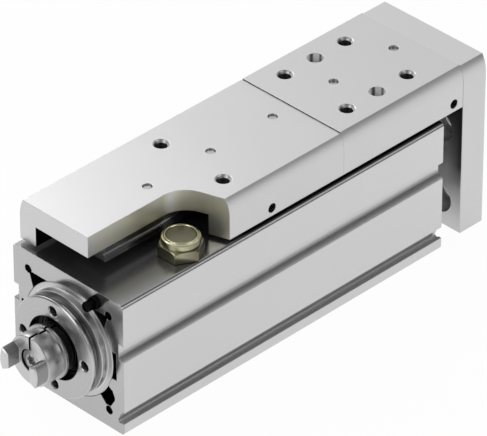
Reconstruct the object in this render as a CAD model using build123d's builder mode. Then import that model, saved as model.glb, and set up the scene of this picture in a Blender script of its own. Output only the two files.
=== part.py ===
from build123d import *
import os
from math import cos, radians, sin, sqrt, tan

os.makedirs("parts", exist_ok=True)

# Driving dimensions, in millimetres.
# X runs along the travel, from the motor end to the yoke. Z is up from the mounting face.

# Clearances
seat_clearance = 0.02
running_clearance = 0.05
free_gap = 0.3

# Housing profile
housing_length = 129.5
housing_width = 44.5
housing_height = 44.5
top_edge_chamfer = 0.7
bottom_edge_chamfer = 0.35

# Slots along both long sides
sensor_slot_rise = 6.1
sensor_slot_height = 4.9
sensor_slot_depth = 1.85
sensor_slot_fillet = 1.2
clamp_slot_level = 5.9
clamp_slot_height = 3.8
clamp_slot_depth = 2.1
clamp_slot_relief = 0.4

# Cavity that runs through the profile
cavity_wall = 6.5
side_pocket_depth = 3.55
side_pocket_height = 9.2
channel_radius = 1.4
upper_channel_out = 0.45
upper_channel_up = 0.4
lower_channel_out = 0.35
lower_channel_down = 0.65

# Spindle, thrust tube and stroke
stroke = 50.0
spindle_radius = 5.0
journal_radius = 4.0
stub_radius = 3.0
thrust_tube_radius = 8.0
thrust_tube_bore = 5.6
stop_reserve = 1.8

# Drive flange with its clamping groove
flange_radius = 16.0
flange_reach = 6.0
flange_seat_radius = 17.8
flange_insert = 17.0
flange_seat_chamfer = 0.2
flange_bore = 10.0
flange_edge_chamfer = 0.4
flange_groove_start = 1.2
flange_groove_width = 2.7
flange_groove_floor = 1.3
flange_groove_depth = 1.6
spanner_pcd = 25.0
spanner_hole_radius = 1.55
spanner_hole_depth = 4.0

# Pair of spindle bearings
bearing_radius = 11.0
bearing_width = 7.0
bearing_outer_wall = 1.8
bearing_inner_wall = 2.0
bearing_pitch_radius = 7.6
bearing_ball_radius = 1.55
bearing_ball_count = 8
bearing_set_back = 5.0
retainer_radius = 12.5
retainer_bore = 8.5
buffer_width = 2.5

# Coupling half on the spindle
hub_length = 10.0
hub_set_back = 1.0
hub_radius = 8.0
hub_rim_radius = 8.4
hub_rim_width = 1.2
hub_rim_reach = 9.0
hub_groove_radius = 7.55
hub_groove_width = 2.6
hub_tail_radius = 7.2
hub_slit_width = 0.7
hub_chamfer = 0.2
claw_length = 4.8
claw_radius = 7.6
claw_flat = 4.3
claw_half_angle = 30.0
claw_chamfer = 0.5
clamp_head_radius = 3.4
clamp_head_height = 2.6
clamp_recess_radius = 3.8
clamp_head_sink = 0.5
clamp_shank_radius = 1.5
clamp_shank_length = 7.0
star_radius = 1.25
star_lobe_radius = 0.45
star_depth = 1.3
stub_in_hub = 3.5
locknut_radius = 7.5
locknut_width = 3.0
locknut_boss_radius = 5.6
locknut_boss_width = 0.5

# Spindle nut, its carrier and the sleeve that joins them to the thrust tube
nut_radius = 10.5
nut_length = 34.0
nut_flange_width = 3.0
carrier_gap = 1.25
carrier_wall = 2.0
carrier_length = 14.0
lug_end_gap = 0.6
lug_side_gap = 0.4
magnet_groove_width = 4.0
magnet_groove_depth = 1.6
sleeve_end_width = 10.5
tube_plug_length = 14.0

# Front cap with the rod's bush and scraper
cap_width = 6.5
cap_cover = 1.85
clip_width = 1.2
clip_depth = 0.9
clip_ring_wall = 2.2
clip_set_back = 1.0
bush_wall = 1.6
scraper_width = 2.0
scraper_wall = 2.6

# Slide plate
slide_set_back = 2.0
slide_side_gap = 1.0
slide_thickness = 7.3
skirt_height = 6.6
skirt_thickness = 6.45
skirt_gap = 1.1
crown_height = 6.0
crown_inset = 1.6
pad_length = 49.7
pad_step = 0.3
notch_side = 6.35
notch_corner = 37.8
notch_angle = 18.8
notch_radius = 9.0
hole_pitch = 25.0
thread_radius = 2.1
thread_countersink = 0.4
front_pattern_inset = 27.05
rear_pair_rows = 2.5
centring_radius = 2.5
rail_thread_radius = 1.5
side_hole_radius = 1.5
side_hole_depth = 4.5
side_hole_rise = 2.7
side_hole_inset = 3.8
side_hole_rows = 3

# Guide rail
rail_width = 12.0
rail_height = 8.0
rail_sink = 3.0
rail_rear_inset = 6.9
rail_front_inset = 2.2
rail_track_radius = 0.7
rail_track_rise = 2.5
rail_hole_count = 5
rail_hole_inset = 7.2
rail_screw_head_radius = 2.75
rail_screw_head_height = 2.8
rail_screw_head_sink = 0.7
rail_screw_length = 8.0
rail_screw_tip_chamfer = 0.3

# Carriages that run on the rail
carriage_side_gap = 1.3
carriage_pocket_depth = 2.3
carriage_headroom = 0.8
carriage_block_length = 21.6
carriage_cap_length = 4.2
carriage_cap_inset = 0.6
carriage_gap = 4.0
carriage_front_inset = 5.0
carriage_screw_pitch_x = 15.0
carriage_screw_pitch_y = 20.0
carriage_screw_radius = 1.5
carriage_screw_head_radius = 2.75
carriage_screw_head_height = 2.4
carriage_screw_grip = 3.4

# Yoke plate
yoke_gap = 9.0
yoke_thickness = 9.9
yoke_bottom = 0.65
yoke_top_drop = 0.4
yoke_edge_chamfer = 0.3
yoke_seam_chamfer = 0.15
load_hole_radius = 2.75
load_counterbore_radius = 5.0
load_counterbore_depth = 5.2
yoke_screw_radius = 1.5
yoke_screw_length = 9.0
yoke_screw_head_radius = 2.75
yoke_screw_head_height = 3.0
yoke_screw_sink = 0.4
yoke_outer_screw_inset = 4.25
yoke_outer_screw_drop = 5.9
yoke_inner_screw_gap = 2.8
yoke_inner_screw_drop = 4.0
dowel_inset = 1.9
dowel_drop = 3.9
dowel_radius = 1.5
dowel_length = 8.0
rod_screw_radius = 3.0
rod_screw_length = 12.0
rod_screw_head_radius = 5.0
rod_screw_head_height = 5.6
tube_recess = 1.0

# Vent filter on the housing top
vent_x = 30.2
vent_inset = 7.65
vent_across_flats = 12.0
vent_hex_height = 3.7
vent_hex_chamfer = 0.75
vent_collar_radius = 5.75
vent_collar_height = 2.1
vent_rim_radius = 5.0
vent_rim_height = 0.5
vent_disc_radius = 4.3
vent_disc_sink = 0.35
vent_disc_thickness = 1.8
vent_thread_radius = 4.0
vent_thread_length = 3.6
vent_duct_radius = 1.8

# Locating pin beside the flange
pin_radius = 1.55
pin_reach = 4.5
pin_depth = 7.0
pin_inset = 10.65
pin_rise = 18.9
pin_collar_radius = 1.95
pin_collar_width = 1.5
pin_chamfer = 0.3

# Grub screws in two of the corner channels
grub_radius = 1.35
grub_length = 6.0
grub_sink = 0.8
grub_socket_radius = 0.65

# Mounting threads and centring holes in the underside
base_pitch_x = 75.0
base_thread_radius = 1.65
base_thread_depth = 5.0
base_centring_depth = 2.0

# Places worked out from the sizes above
motor_face = -housing_length / 2
front_face = housing_length / 2
half_width = housing_width / 2
axis_z = housing_height / 2
cavity_half = half_width - cavity_wall
cavity_top = axis_z + cavity_half
side_pocket_reach = cavity_half + side_pocket_depth
upper_channel_offset = cavity_half + upper_channel_out
upper_channel_rise = cavity_half + upper_channel_up
lower_channel_offset = cavity_half + lower_channel_out
lower_channel_drop = cavity_half + lower_channel_down
sensor_slot_level = axis_z + sensor_slot_rise
carrier_radius = cavity_half - carrier_gap
buffer_radius = carrier_radius
nut_flange_radius = carrier_radius - carrier_wall
lug_reach = side_pocket_reach - lug_end_gap
lug_height = side_pocket_height - 2 * lug_side_gap
cap_radius = cavity_half + cap_cover
pin_place = (pin_inset - half_width, axis_z + pin_rise)
vent_y = vent_inset - half_width
slide_half = half_width - slide_side_gap
channel_half = slide_half - skirt_thickness
skirt_bottom = housing_height + skirt_gap
slide_under = skirt_bottom + skirt_height
slide_top = slide_under + slide_thickness
slide_start = motor_face + slide_set_back
yoke_face = front_face + yoke_gap
yoke_front = yoke_face + yoke_thickness
slide_length = yoke_face - slide_start
pad_start = yoke_face - pad_length
flange_nose = motor_face - flange_reach
flange_end = motor_face + flange_insert
bearing_start = flange_nose + bearing_set_back
bearing_end = bearing_start + 2 * bearing_width
nut_start = flange_end + buffer_width + stop_reserve
nut_end = nut_start + nut_length
carrier_start = nut_start + nut_flange_width
carrier_end = carrier_start + carrier_length
sleeve_end = nut_end + sleeve_end_width
spindle_end = nut_end + stroke + stop_reserve
cap_end = front_face - clip_set_back - clip_width
cap_start = cap_end - cap_width
tube_end = yoke_face + tube_recess
rail_base = slide_under + rail_sink
rail_face = rail_base - rail_height
rail_start = slide_start + rail_rear_inset
rail_end = yoke_face - rail_front_inset
rail_hole_xs = [yoke_face - rail_hole_inset - row * hole_pitch for row in range(rail_hole_count)]
carriage_length = carriage_block_length + 2 * carriage_cap_length
carriage_top = slide_under - carriage_headroom
carriage_slot_floor = rail_face - 2 * free_gap
carriage_seat = housing_height - carriage_pocket_depth
carriage_width = 2 * (channel_half - carriage_side_gap)
front_carriage_x = front_face - carriage_front_inset - carriage_length / 2
rear_carriage_x = front_carriage_x - carriage_length - carriage_gap
front_pattern_x = yoke_face - front_pattern_inset
rear_pair_x = front_pattern_x - rear_pair_rows * hole_pitch
side_hole_xs = [yoke_face - side_hole_inset - row * hole_pitch for row in (0, side_hole_rows)]
side_hole_z = skirt_bottom + side_hole_rise
yoke_screws_outer = (slide_half - yoke_outer_screw_inset, slide_top - yoke_outer_screw_drop)
yoke_screws_inner = (rail_width / 2 + yoke_inner_screw_gap, slide_top - yoke_inner_screw_drop)
dowel_place = (channel_half - dowel_inset, slide_top - dowel_drop)


def across(x):
    """Plane square to the travel at this X, with Y and Z as its own axes."""
    return Plane.YZ.offset(x)


def on_axis(x):
    """Plane square to the travel at this X, centred on the spindle axis."""
    return Plane(origin=(x, 0, axis_z), x_dir=(0, 1, 0), z_dir=(1, 0, 0))


def level(z):
    """Flat plane at this height."""
    return Plane.XY.offset(z)


def both_sides(points):
    """The points, and their mirror images across the middle of the slide."""
    return [(side * u, v) for u, v in points for side in (-1, 1)]


def discs(plane, points, radius, depth, mode=Mode.ADD):
    """Round bosses, or holes with Mode.SUBTRACT, at points of a plane."""
    with BuildSketch(plane) as circles:
        with Locations(*points):
            Circle(radius)
    extrude(circles.sketch, amount=depth, mode=mode)


def hexagons(plane, points, inner_radius, depth, mode=Mode.ADD):
    """Six-sided bosses or sockets at points of a plane, with two flats square to its own X."""
    with BuildSketch(plane) as outlines:
        with Locations(*points):
            RegularPolygon(inner_radius, 6, major_radius=False, rotation=30)
    extrude(outlines.sketch, amount=depth, mode=mode)


def turned(sections):
    """Round part on the spindle axis, from (start, end, outer radius, inner radius) sections."""
    for start, end, outer, inner in sections:
        with BuildSketch(on_axis(start)) as ring:
            Circle(outer)
            if inner:
                Circle(inner, mode=Mode.SUBTRACT)
        extrude(ring.sketch, amount=end - start)


def cavity_outline():
    """Section of the cavity: flat walls, side pockets and four screw channels."""
    pocket_half = side_pocket_height / 2
    right_half = [
        (0, cavity_half),
        (cavity_half - 1.25, cavity_half),
        (upper_channel_offset - 0.6, upper_channel_rise - 0.6),
        (cavity_half - 0.15, cavity_half - 1.2),
        (cavity_half - 1.35, cavity_half - 5.0),
        (cavity_half - 0.45, cavity_half - 8.0),
        (cavity_half, pocket_half + 1.0),
        (cavity_half, pocket_half),
        (side_pocket_reach, pocket_half),
        (side_pocket_reach, -pocket_half),
        (cavity_half, -pocket_half),
        (cavity_half + 0.5, 7.5 - cavity_half),
        (cavity_half + 1.85, 6.7 - cavity_half),
        (cavity_half + 2.75, 4.8 - cavity_half),
        (cavity_half + 2.7, 3.8 - cavity_half),
        (cavity_half + 0.95, 0.9 - cavity_half),
        (cavity_half - 0.85, 0.8 - cavity_half),
        (cavity_half - 3.05, 3.0 - cavity_half),
        (cavity_half - 4.55, 2.5 - cavity_half),
        (cavity_half - 7.75, -cavity_half),
        (0, -cavity_half),
    ]
    left_half = [(-y, z) for y, z in reversed(right_half)]
    Polygon(*(right_half + left_half[1:-1]), align=None)
    with Locations(*both_sides([(upper_channel_offset, upper_channel_rise)])):
        Circle(channel_radius)
    with Locations(*both_sides([(lower_channel_offset, -lower_channel_drop)])):
        Circle(channel_radius)


def slide_outline(bottom, top):
    """Section of the slide: upright sides that arc in to a sharp top edge."""
    shoulder = top - crown_height
    arc_radius = (crown_height**2 + crown_inset**2) / (2 * crown_inset)
    middle_rise = crown_height / 2
    middle_inset = arc_radius - sqrt(arc_radius**2 - middle_rise**2)
    for side in (-1, 1):
        Line((side * slide_half, bottom), (side * slide_half, shoulder))
        ThreePointArc(
            (side * slide_half, shoulder),
            (side * (slide_half - middle_inset), shoulder + middle_rise),
            (side * (slide_half - crown_inset), top),
        )
    Line((-slide_half, bottom), (slide_half, bottom))
    Line((-slide_half + crown_inset, top), (slide_half - crown_inset, top))


# Housing profile: one extrusion, then the machined seats
upper_channels = both_sides([(upper_channel_offset, upper_channel_rise)])
base_points = [(-base_pitch_x / 2, 0), (base_pitch_x / 2, 0)]
base_threads = [(x, side * hole_pitch / 2) for x, _ in base_points for side in (-1, 1)]
carriage_screw_points = [
    (centre + along * carriage_screw_pitch_x / 2, side * carriage_screw_pitch_y / 2)
    for centre in (rear_carriage_x, front_carriage_x)
    for along in (-1, 1)
    for side in (-1, 1)
]
pocket_start = rear_carriage_x - carriage_length / 2 - free_gap
pocket_end = front_carriage_x + carriage_length / 2 + free_gap
with BuildPart() as housing_profile:
    with BuildSketch(across(motor_face)) as section:
        with Locations((0, axis_z)):
            Rectangle(housing_width, housing_height)
        chamfer(section.vertices().group_by(Axis.Z)[-1], top_edge_chamfer)
        chamfer(section.vertices().group_by(Axis.Z)[0], bottom_edge_chamfer)
        with Locations(*both_sides([(half_width - sensor_slot_depth / 2, sensor_slot_level)])):
            Rectangle(sensor_slot_depth, sensor_slot_height, mode=Mode.SUBTRACT)
        slot_floor = half_width - sensor_slot_depth
        for slot_corner in both_sides([(slot_floor, sensor_slot_level - sensor_slot_height / 2)]):
            corner_place = (motor_face, *slot_corner)
            fillet(section.vertices().sort_by_distance(corner_place)[0], sensor_slot_fillet)
        with Locations(*both_sides([(half_width - clamp_slot_depth / 2, clamp_slot_level)])):
            Rectangle(clamp_slot_depth, clamp_slot_height, mode=Mode.SUBTRACT)
        clamp_corner = half_width - clamp_slot_depth + clamp_slot_relief
        clamp_floor = clamp_slot_level - clamp_slot_height / 2
        with Locations(*both_sides([(clamp_corner, clamp_floor + clamp_slot_relief)])):
            Circle(2 * clamp_slot_relief, mode=Mode.SUBTRACT)
    extrude(amount=housing_length)
    with BuildSketch(on_axis(motor_face)):
        cavity_outline()
    extrude(amount=housing_length, mode=Mode.SUBTRACT)
    centre = [(0, 0)]
    discs(on_axis(motor_face), centre, flange_seat_radius + seat_clearance, flange_insert, Mode.SUBTRACT)
    discs(on_axis(cap_start), centre, cap_radius + seat_clearance, front_face - cap_start, Mode.SUBTRACT)
    discs(on_axis(cap_end), centre, cap_radius + clip_depth, clip_width, Mode.SUBTRACT)
    discs(across(motor_face), [pin_place], pin_radius + seat_clearance, pin_depth, Mode.SUBTRACT)
    with BuildSketch(level(housing_height)):
        with Locations(((pocket_start + pocket_end) / 2, 0)):
            Rectangle(pocket_end - pocket_start, carriage_width + 2 * free_gap)
    extrude(amount=carriage_seat - housing_height, mode=Mode.SUBTRACT)
    discs(
        level(carriage_seat),
        carriage_screw_points,
        carriage_screw_radius + seat_clearance,
        cavity_top - carriage_seat - free_gap,
        Mode.SUBTRACT,
    )
    vent_point = [(motor_face + vent_x, vent_y)]
    vent_seat_depth = vent_thread_length + free_gap
    discs(level(housing_height), vent_point, vent_thread_radius + seat_clearance, -vent_seat_depth, Mode.SUBTRACT)
    discs(level(housing_height), vent_point, vent_duct_radius, -housing_height / 4, Mode.SUBTRACT)
    discs(level(0), base_threads, base_thread_radius, base_thread_depth, Mode.SUBTRACT)
    discs(level(0), base_points, centring_radius, base_centring_depth, Mode.SUBTRACT)
housing_profile.part.label = "housing_profile"

# Drive flange: clamping groove round its nose, bearing bore behind
groove_start = flange_nose + flange_groove_start
groove_end = groove_start + flange_groove_width
groove_slope = (flange_groove_width - flange_groove_floor) / 2
with BuildPart() as drive_flange:
    with BuildSketch(Plane.XZ) as half_section:
        points = [
            (flange_nose, flange_bore),
            (flange_nose, flange_radius - flange_edge_chamfer),
            (flange_nose + flange_edge_chamfer, flange_radius),
            (groove_start, flange_radius),
            (groove_start + groove_slope, flange_radius - flange_groove_depth),
            (groove_end - groove_slope, flange_radius - flange_groove_depth),
            (groove_end, flange_radius),
            (motor_face, flange_radius),
            (motor_face, flange_seat_radius - flange_seat_chamfer),
            (motor_face + flange_seat_chamfer, flange_seat_radius),
            (flange_end, flange_seat_radius),
            (flange_end, retainer_radius + seat_clearance),
            (bearing_end, retainer_radius + seat_clearance),
            (bearing_end, bearing_radius + seat_clearance),
            (bearing_start, bearing_radius + seat_clearance),
            (bearing_start, flange_bore),
        ]
        Polygon(*[(x, axis_z + radius) for x, radius in points], align=None)
    revolve(axis=Axis((0, 0, axis_z), (1, 0, 0)))
    with BuildSketch(on_axis(flange_nose)) as spanner_holes:
        with PolarLocations(spanner_pcd / 2, 4):
            Circle(spanner_hole_radius)
    extrude(spanner_holes.sketch, amount=spanner_hole_depth, mode=Mode.SUBTRACT)
drive_flange.part.label = "drive_flange"

with BuildPart() as locating_pin:
    pin_start = motor_face - pin_reach
    discs(across(pin_start), [pin_place], pin_radius, pin_reach + pin_depth)
    chamfer(locating_pin.edges().group_by(Axis.X)[0], pin_chamfer)
    discs(across(motor_face - pin_collar_width), [pin_place], pin_collar_radius, pin_collar_width)
locating_pin.part.label = "locating_pin"

with BuildPart() as channel_screws:
    grub_points = [(upper_channel_offset, upper_channel_rise), (-lower_channel_offset, -lower_channel_drop)]
    grub_start = motor_face + grub_sink
    discs(on_axis(grub_start), grub_points, grub_radius, grub_length)
    hexagons(on_axis(grub_start), grub_points, grub_socket_radius, grub_radius, Mode.SUBTRACT)
channel_screws.part.label = "channel_screws"

# Spindle bearings, retainer and end stops
with BuildPart() as bearing_outer_rings:
    race = bearing_radius - bearing_outer_wall
    for row in range(2):
        row_start = bearing_start + row * bearing_width
        turned([(row_start, row_start + bearing_width, bearing_radius, race)])
bearing_outer_rings.part.label = "bearing_outer_rings"

with BuildPart() as bearing_inner_rings:
    for row in range(2):
        row_start = bearing_start + row * bearing_width
        inner_race = journal_radius + bearing_inner_wall
        turned([(row_start, row_start + bearing_width, inner_race, journal_radius + seat_clearance)])
bearing_inner_rings.part.label = "bearing_inner_rings"

with BuildPart() as bearing_balls:
    for row in range(2):
        row_middle = bearing_start + (row + 0.5) * bearing_width
        for index in range(bearing_ball_count):
            turn = radians(index * 360 / bearing_ball_count)
            ball_y = bearing_pitch_radius * cos(turn)
            ball_z = axis_z + bearing_pitch_radius * sin(turn)
            with Locations((row_middle, ball_y, ball_z)):
                Sphere(bearing_ball_radius)
bearing_balls.part.label = "bearing_balls"

with BuildPart() as bearing_retainer:
    turned([(bearing_end, flange_end, retainer_radius, retainer_bore)])
bearing_retainer.part.label = "bearing_retainer"

with BuildPart() as rear_buffer:
    turned([(flange_end, flange_end + buffer_width, buffer_radius, retainer_bore)])
rear_buffer.part.label = "rear_buffer"

# Front cap, held by a spring clip, with the bush and scraper for the thrust tube
tube_bore = thrust_tube_radius + running_clearance
bush_radius = tube_bore + bush_wall
scraper_radius = tube_bore + scraper_wall
scraper_start = cap_end - scraper_width
with BuildPart() as front_cap:
    turned([(cap_start, scraper_start, cap_radius, bush_radius + seat_clearance)])
    turned([(scraper_start, cap_end, cap_radius, scraper_radius + seat_clearance)])
front_cap.part.label = "front_cap"

with BuildPart() as front_buffer:
    turned([(cap_start - buffer_width, cap_start, buffer_radius, bush_radius + seat_clearance)])
front_buffer.part.label = "front_buffer"

with BuildPart() as guide_bush:
    turned([(cap_start, scraper_start, bush_radius, tube_bore)])
guide_bush.part.label = "guide_bush"

with BuildPart() as rod_scraper:
    turned([(scraper_start, cap_end, scraper_radius, tube_bore)])
rod_scraper.part.label = "rod_scraper"

with BuildPart() as cap_clip:
    turned([(cap_end, cap_end + clip_width, cap_radius + clip_depth, cap_radius + clip_depth - clip_ring_wall)])
cap_clip.part.label = "cap_clip"

# Carriages
block_half = carriage_block_length / 2
rail_slot = rail_width + 2 * free_gap


def carriage_piece(start, length, inset):
    """Part of a carriage: a block with a slot along it for the rail."""
    width = carriage_width - 2 * inset
    bottom = carriage_seat + inset
    with BuildSketch(across(start)) as block:
        with Locations((0, (bottom + carriage_top - inset) / 2)):
            Rectangle(width, carriage_top - inset - bottom)
        with Locations((0, (carriage_slot_floor + carriage_top) / 2)):
            Rectangle(rail_slot, carriage_top - carriage_slot_floor, mode=Mode.SUBTRACT)
    extrude(block.sketch, amount=length)


with BuildPart() as front_carriage:
    carriage_piece(front_carriage_x - block_half, carriage_block_length, 0)
    front_points = [point for point in carriage_screw_points if point[0] > rear_carriage_x + block_half]
    thread_radius_m3 = carriage_screw_radius + seat_clearance
    discs(level(carriage_seat), front_points, thread_radius_m3, carriage_screw_grip, Mode.SUBTRACT)
front_carriage.part.label = "front_carriage"

with BuildPart() as rear_carriage:
    carriage_piece(rear_carriage_x - block_half, carriage_block_length, 0)
    rear_points = [point for point in carriage_screw_points if point[0] < rear_carriage_x + block_half]
    discs(level(carriage_seat), rear_points, thread_radius_m3, carriage_screw_grip, Mode.SUBTRACT)
rear_carriage.part.label = "rear_carriage"

with BuildPart() as carriage_end_caps:
    for carriage_x in (rear_carriage_x, front_carriage_x):
        carriage_piece(carriage_x - block_half - carriage_cap_length, carriage_cap_length, carriage_cap_inset)
        carriage_piece(carriage_x + block_half, carriage_cap_length, carriage_cap_inset)
carriage_end_caps.part.label = "carriage_end_caps"

with BuildPart() as carriage_screws:
    shank = carriage_seat + carriage_screw_grip - free_gap - cavity_top
    discs(level(cavity_top), carriage_screw_points, carriage_screw_radius, shank)
    discs(level(cavity_top), carriage_screw_points, carriage_screw_head_radius, -carriage_screw_head_height)
    head_face = level(cavity_top - carriage_screw_head_height)
    hexagons(head_face, carriage_screw_points, carriage_screw_radius, carriage_screw_radius, Mode.SUBTRACT)
carriage_screws.part.label = "carriage_screws"

# Vent filter
with BuildPart() as vent_body:
    hex_top = housing_height + vent_hex_height
    collar_top = hex_top + vent_collar_height
    vent_top = collar_top + vent_rim_height
    hexagons(level(housing_height), vent_point, vent_across_flats / 2, vent_hex_height)
    corner_radius = vent_across_flats / sqrt(3)
    with Locations((*vent_point[0], hex_top)):
        Cone(
            corner_radius + vent_hex_height - vent_hex_chamfer,
            corner_radius - vent_hex_chamfer,
            vent_hex_height,
            align=(Align.CENTER, Align.CENTER, Align.MAX),
            mode=Mode.INTERSECT,
        )
    discs(level(housing_height), vent_point, vent_thread_radius, -vent_thread_length)
    discs(level(hex_top), vent_point, vent_collar_radius, vent_collar_height)
    discs(level(collar_top), vent_point, vent_rim_radius, vent_rim_height)
    seat_depth = vent_disc_sink + vent_disc_thickness
    discs(level(vent_top), vent_point, vent_disc_radius + seat_clearance, -seat_depth, Mode.SUBTRACT)
    duct_length = vent_top - housing_height + vent_thread_length
    discs(level(vent_top), vent_point, vent_duct_radius, -duct_length, Mode.SUBTRACT)
vent_body.part.label = "vent_body"

with BuildPart() as vent_disc:
    discs(level(vent_top - vent_disc_sink), vent_point, vent_disc_radius, -vent_disc_thickness)
vent_disc.part.label = "vent_disc"

# Slide plate: channel underneath, notch over the vent, holes on top and in the sides
slide_middle = (slide_start + yoke_face) / 2
rail_thread_points = [(x, 0) for x in rail_hole_xs]
top_threads = [
    (front_pattern_x + along * hole_pitch / 2, side * hole_pitch / 2) for along in (-1, 1) for side in (-1, 1)
]
top_threads += [(rear_pair_x, side * hole_pitch / 2) for side in (-1, 1)]
centring_points = [(front_pattern_x, side * hole_pitch / 2) for side in (-1, 1)]
yoke_screw_points = both_sides([yoke_screws_outer, yoke_screws_inner])
dowel_points = both_sides([dowel_place])
with BuildPart() as slide_plate:
    with BuildSketch(across(slide_start)):
        with BuildLine():
            slide_outline(skirt_bottom, slide_top)
        make_face()
        with Locations((0, (skirt_bottom + slide_under) / 2)):
            Rectangle(2 * channel_half, slide_under - skirt_bottom, mode=Mode.SUBTRACT)
    extrude(amount=slide_length)
    with BuildSketch(level(slide_top)):
        with Locations(((slide_start + pad_start) / 2, 0)):
            Rectangle(pad_start - slide_start, 2 * slide_half)
    extrude(amount=-pad_step, mode=Mode.SUBTRACT)
    with BuildSketch(level(slide_top)) as notch:
        corner_x = motor_face + notch_corner
        outer_y = slide_half + free_gap
        outer_x = corner_x + (outer_y - notch_side) * tan(radians(notch_angle))
        open_x = slide_start - free_gap
        Polygon((open_x, -notch_side), (corner_x, -notch_side), (outer_x, -outer_y), (open_x, -outer_y), align=None)
        inner_corner = notch.vertices().sort_by_distance((corner_x, -notch_side, slide_top))[0]
        fillet(inner_corner, notch_radius)
    extrude(amount=skirt_bottom - slide_top, mode=Mode.SUBTRACT)
    with BuildSketch(level(slide_under)):
        with Locations(((rail_start + yoke_face) / 2, 0)):
            Rectangle(yoke_face - rail_start, rail_width + 2 * seat_clearance)
    extrude(amount=rail_sink, mode=Mode.SUBTRACT)
    discs(level(rail_base), rail_thread_points, rail_thread_radius, slide_top - rail_base, Mode.SUBTRACT)
    discs(level(slide_under), top_threads, thread_radius, slide_top - slide_under, Mode.SUBTRACT)
    discs(level(slide_under), centring_points, centring_radius, slide_top - slide_under, Mode.SUBTRACT)
    for thread_x, thread_y in top_threads:
        rim = slide_top if thread_x > pad_start else slide_top - pad_step
        with Locations((thread_x, thread_y, rim)):
            Cone(
                thread_radius,
                thread_radius + thread_countersink,
                thread_countersink,
                align=(Align.CENTER, Align.CENTER, Align.MAX),
                mode=Mode.SUBTRACT,
            )
    side_points = [(x, side_hole_z) for x in side_hole_xs]
    discs(Plane.XZ.offset(slide_half), side_points, side_hole_radius, -side_hole_depth, Mode.SUBTRACT)
    discs(Plane.XZ.offset(-slide_half), side_points, side_hole_radius, side_hole_depth, Mode.SUBTRACT)
    thread_depth = yoke_screw_length
    discs(across(yoke_face), yoke_screw_points, yoke_screw_radius + seat_clearance, -thread_depth, Mode.SUBTRACT)
    discs(across(yoke_face), dowel_points, dowel_radius + seat_clearance, -dowel_length / 2, Mode.SUBTRACT)
slide_plate.part.label = "slide_plate"

with BuildPart() as guide_rail:
    with BuildSketch(across(rail_start)):
        with Locations((0, (rail_face + rail_base) / 2)):
            Rectangle(rail_width, rail_height)
        tracks = both_sides([(rail_width / 2, rail_face + rail_track_rise)])
        with Locations(*tracks):
            Circle(rail_track_radius, mode=Mode.SUBTRACT)
    extrude(amount=rail_end - rail_start)
    discs(level(rail_face), rail_thread_points, rail_thread_radius + seat_clearance, rail_height, Mode.SUBTRACT)
    head_room = rail_screw_head_height + rail_screw_head_sink
    head_bore = rail_screw_head_radius + free_gap
    discs(level(rail_face), rail_thread_points, head_bore, head_room, Mode.SUBTRACT)
guide_rail.part.label = "guide_rail"

with BuildPart() as rail_screws:
    head_start = rail_face + rail_screw_head_sink
    head_top = head_start + rail_screw_head_height
    shank_radius = rail_thread_radius - seat_clearance
    discs(level(head_start), rail_thread_points, rail_screw_head_radius, rail_screw_head_height)
    discs(level(head_top), rail_thread_points, shank_radius, rail_screw_length)
    chamfer(rail_screws.edges().group_by(Axis.Z)[-1], rail_screw_tip_chamfer)
    hexagons(level(head_start), rail_thread_points, rail_thread_radius, rail_thread_radius, Mode.SUBTRACT)
rail_screws.part.label = "rail_screws"

# Yoke plate with its screws and dowels
load_points = [(y * hole_pitch / 2, axis_z + z * hole_pitch / 2) for y in (-1, 1) for z in (-1, 1)]
yoke_top = slide_top - yoke_top_drop
with BuildPart() as yoke_plate:
    with BuildSketch(across(yoke_face)):
        with BuildLine():
            slide_outline(yoke_bottom, yoke_top)
        make_face()
    extrude(amount=yoke_thickness)
    chamfer(yoke_plate.edges().group_by(Axis.X)[-1], yoke_edge_chamfer)
    chamfer(yoke_plate.edges().group_by(Axis.X)[0], yoke_seam_chamfer)
    discs(across(yoke_face), load_points, load_hole_radius, yoke_thickness, Mode.SUBTRACT)
    discs(across(yoke_face), load_points, load_counterbore_radius, load_counterbore_depth, Mode.SUBTRACT)
    discs(on_axis(yoke_face), centre, thrust_tube_radius + seat_clearance, tube_recess, Mode.SUBTRACT)
    discs(on_axis(yoke_face), centre, rod_screw_radius + seat_clearance, yoke_thickness, Mode.SUBTRACT)
    rod_head_depth = rod_screw_head_height + yoke_screw_sink
    discs(on_axis(yoke_front), centre, rod_screw_head_radius + free_gap, -rod_head_depth, Mode.SUBTRACT)
    discs(across(yoke_face), yoke_screw_points, yoke_screw_radius + seat_clearance, yoke_thickness, Mode.SUBTRACT)
    head_depth = yoke_screw_head_height + yoke_screw_sink
    head_seat = yoke_screw_head_radius + free_gap
    discs(across(yoke_front), yoke_screw_points, head_seat, -head_depth, Mode.SUBTRACT)
    discs(across(yoke_face), dowel_points, dowel_radius + seat_clearance, dowel_length / 2, Mode.SUBTRACT)
yoke_plate.part.label = "yoke_plate"

with BuildPart() as yoke_screws:
    yoke_head_start = yoke_front - head_depth
    discs(across(yoke_head_start), yoke_screw_points, yoke_screw_head_radius, yoke_screw_head_height)
    shank_reach = yoke_head_start - yoke_face + yoke_screw_length - free_gap
    discs(across(yoke_head_start), yoke_screw_points, yoke_screw_radius, -shank_reach)
    screw_face = across(yoke_head_start + yoke_screw_head_height)
    hexagons(screw_face, yoke_screw_points, yoke_screw_head_radius / 2, -yoke_screw_head_height / 2, Mode.SUBTRACT)
yoke_screws.part.label = "yoke_screws"

with BuildPart() as yoke_dowels:
    discs(across(yoke_face - dowel_length / 2), dowel_points, dowel_radius, dowel_length)
yoke_dowels.part.label = "yoke_dowels"

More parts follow.
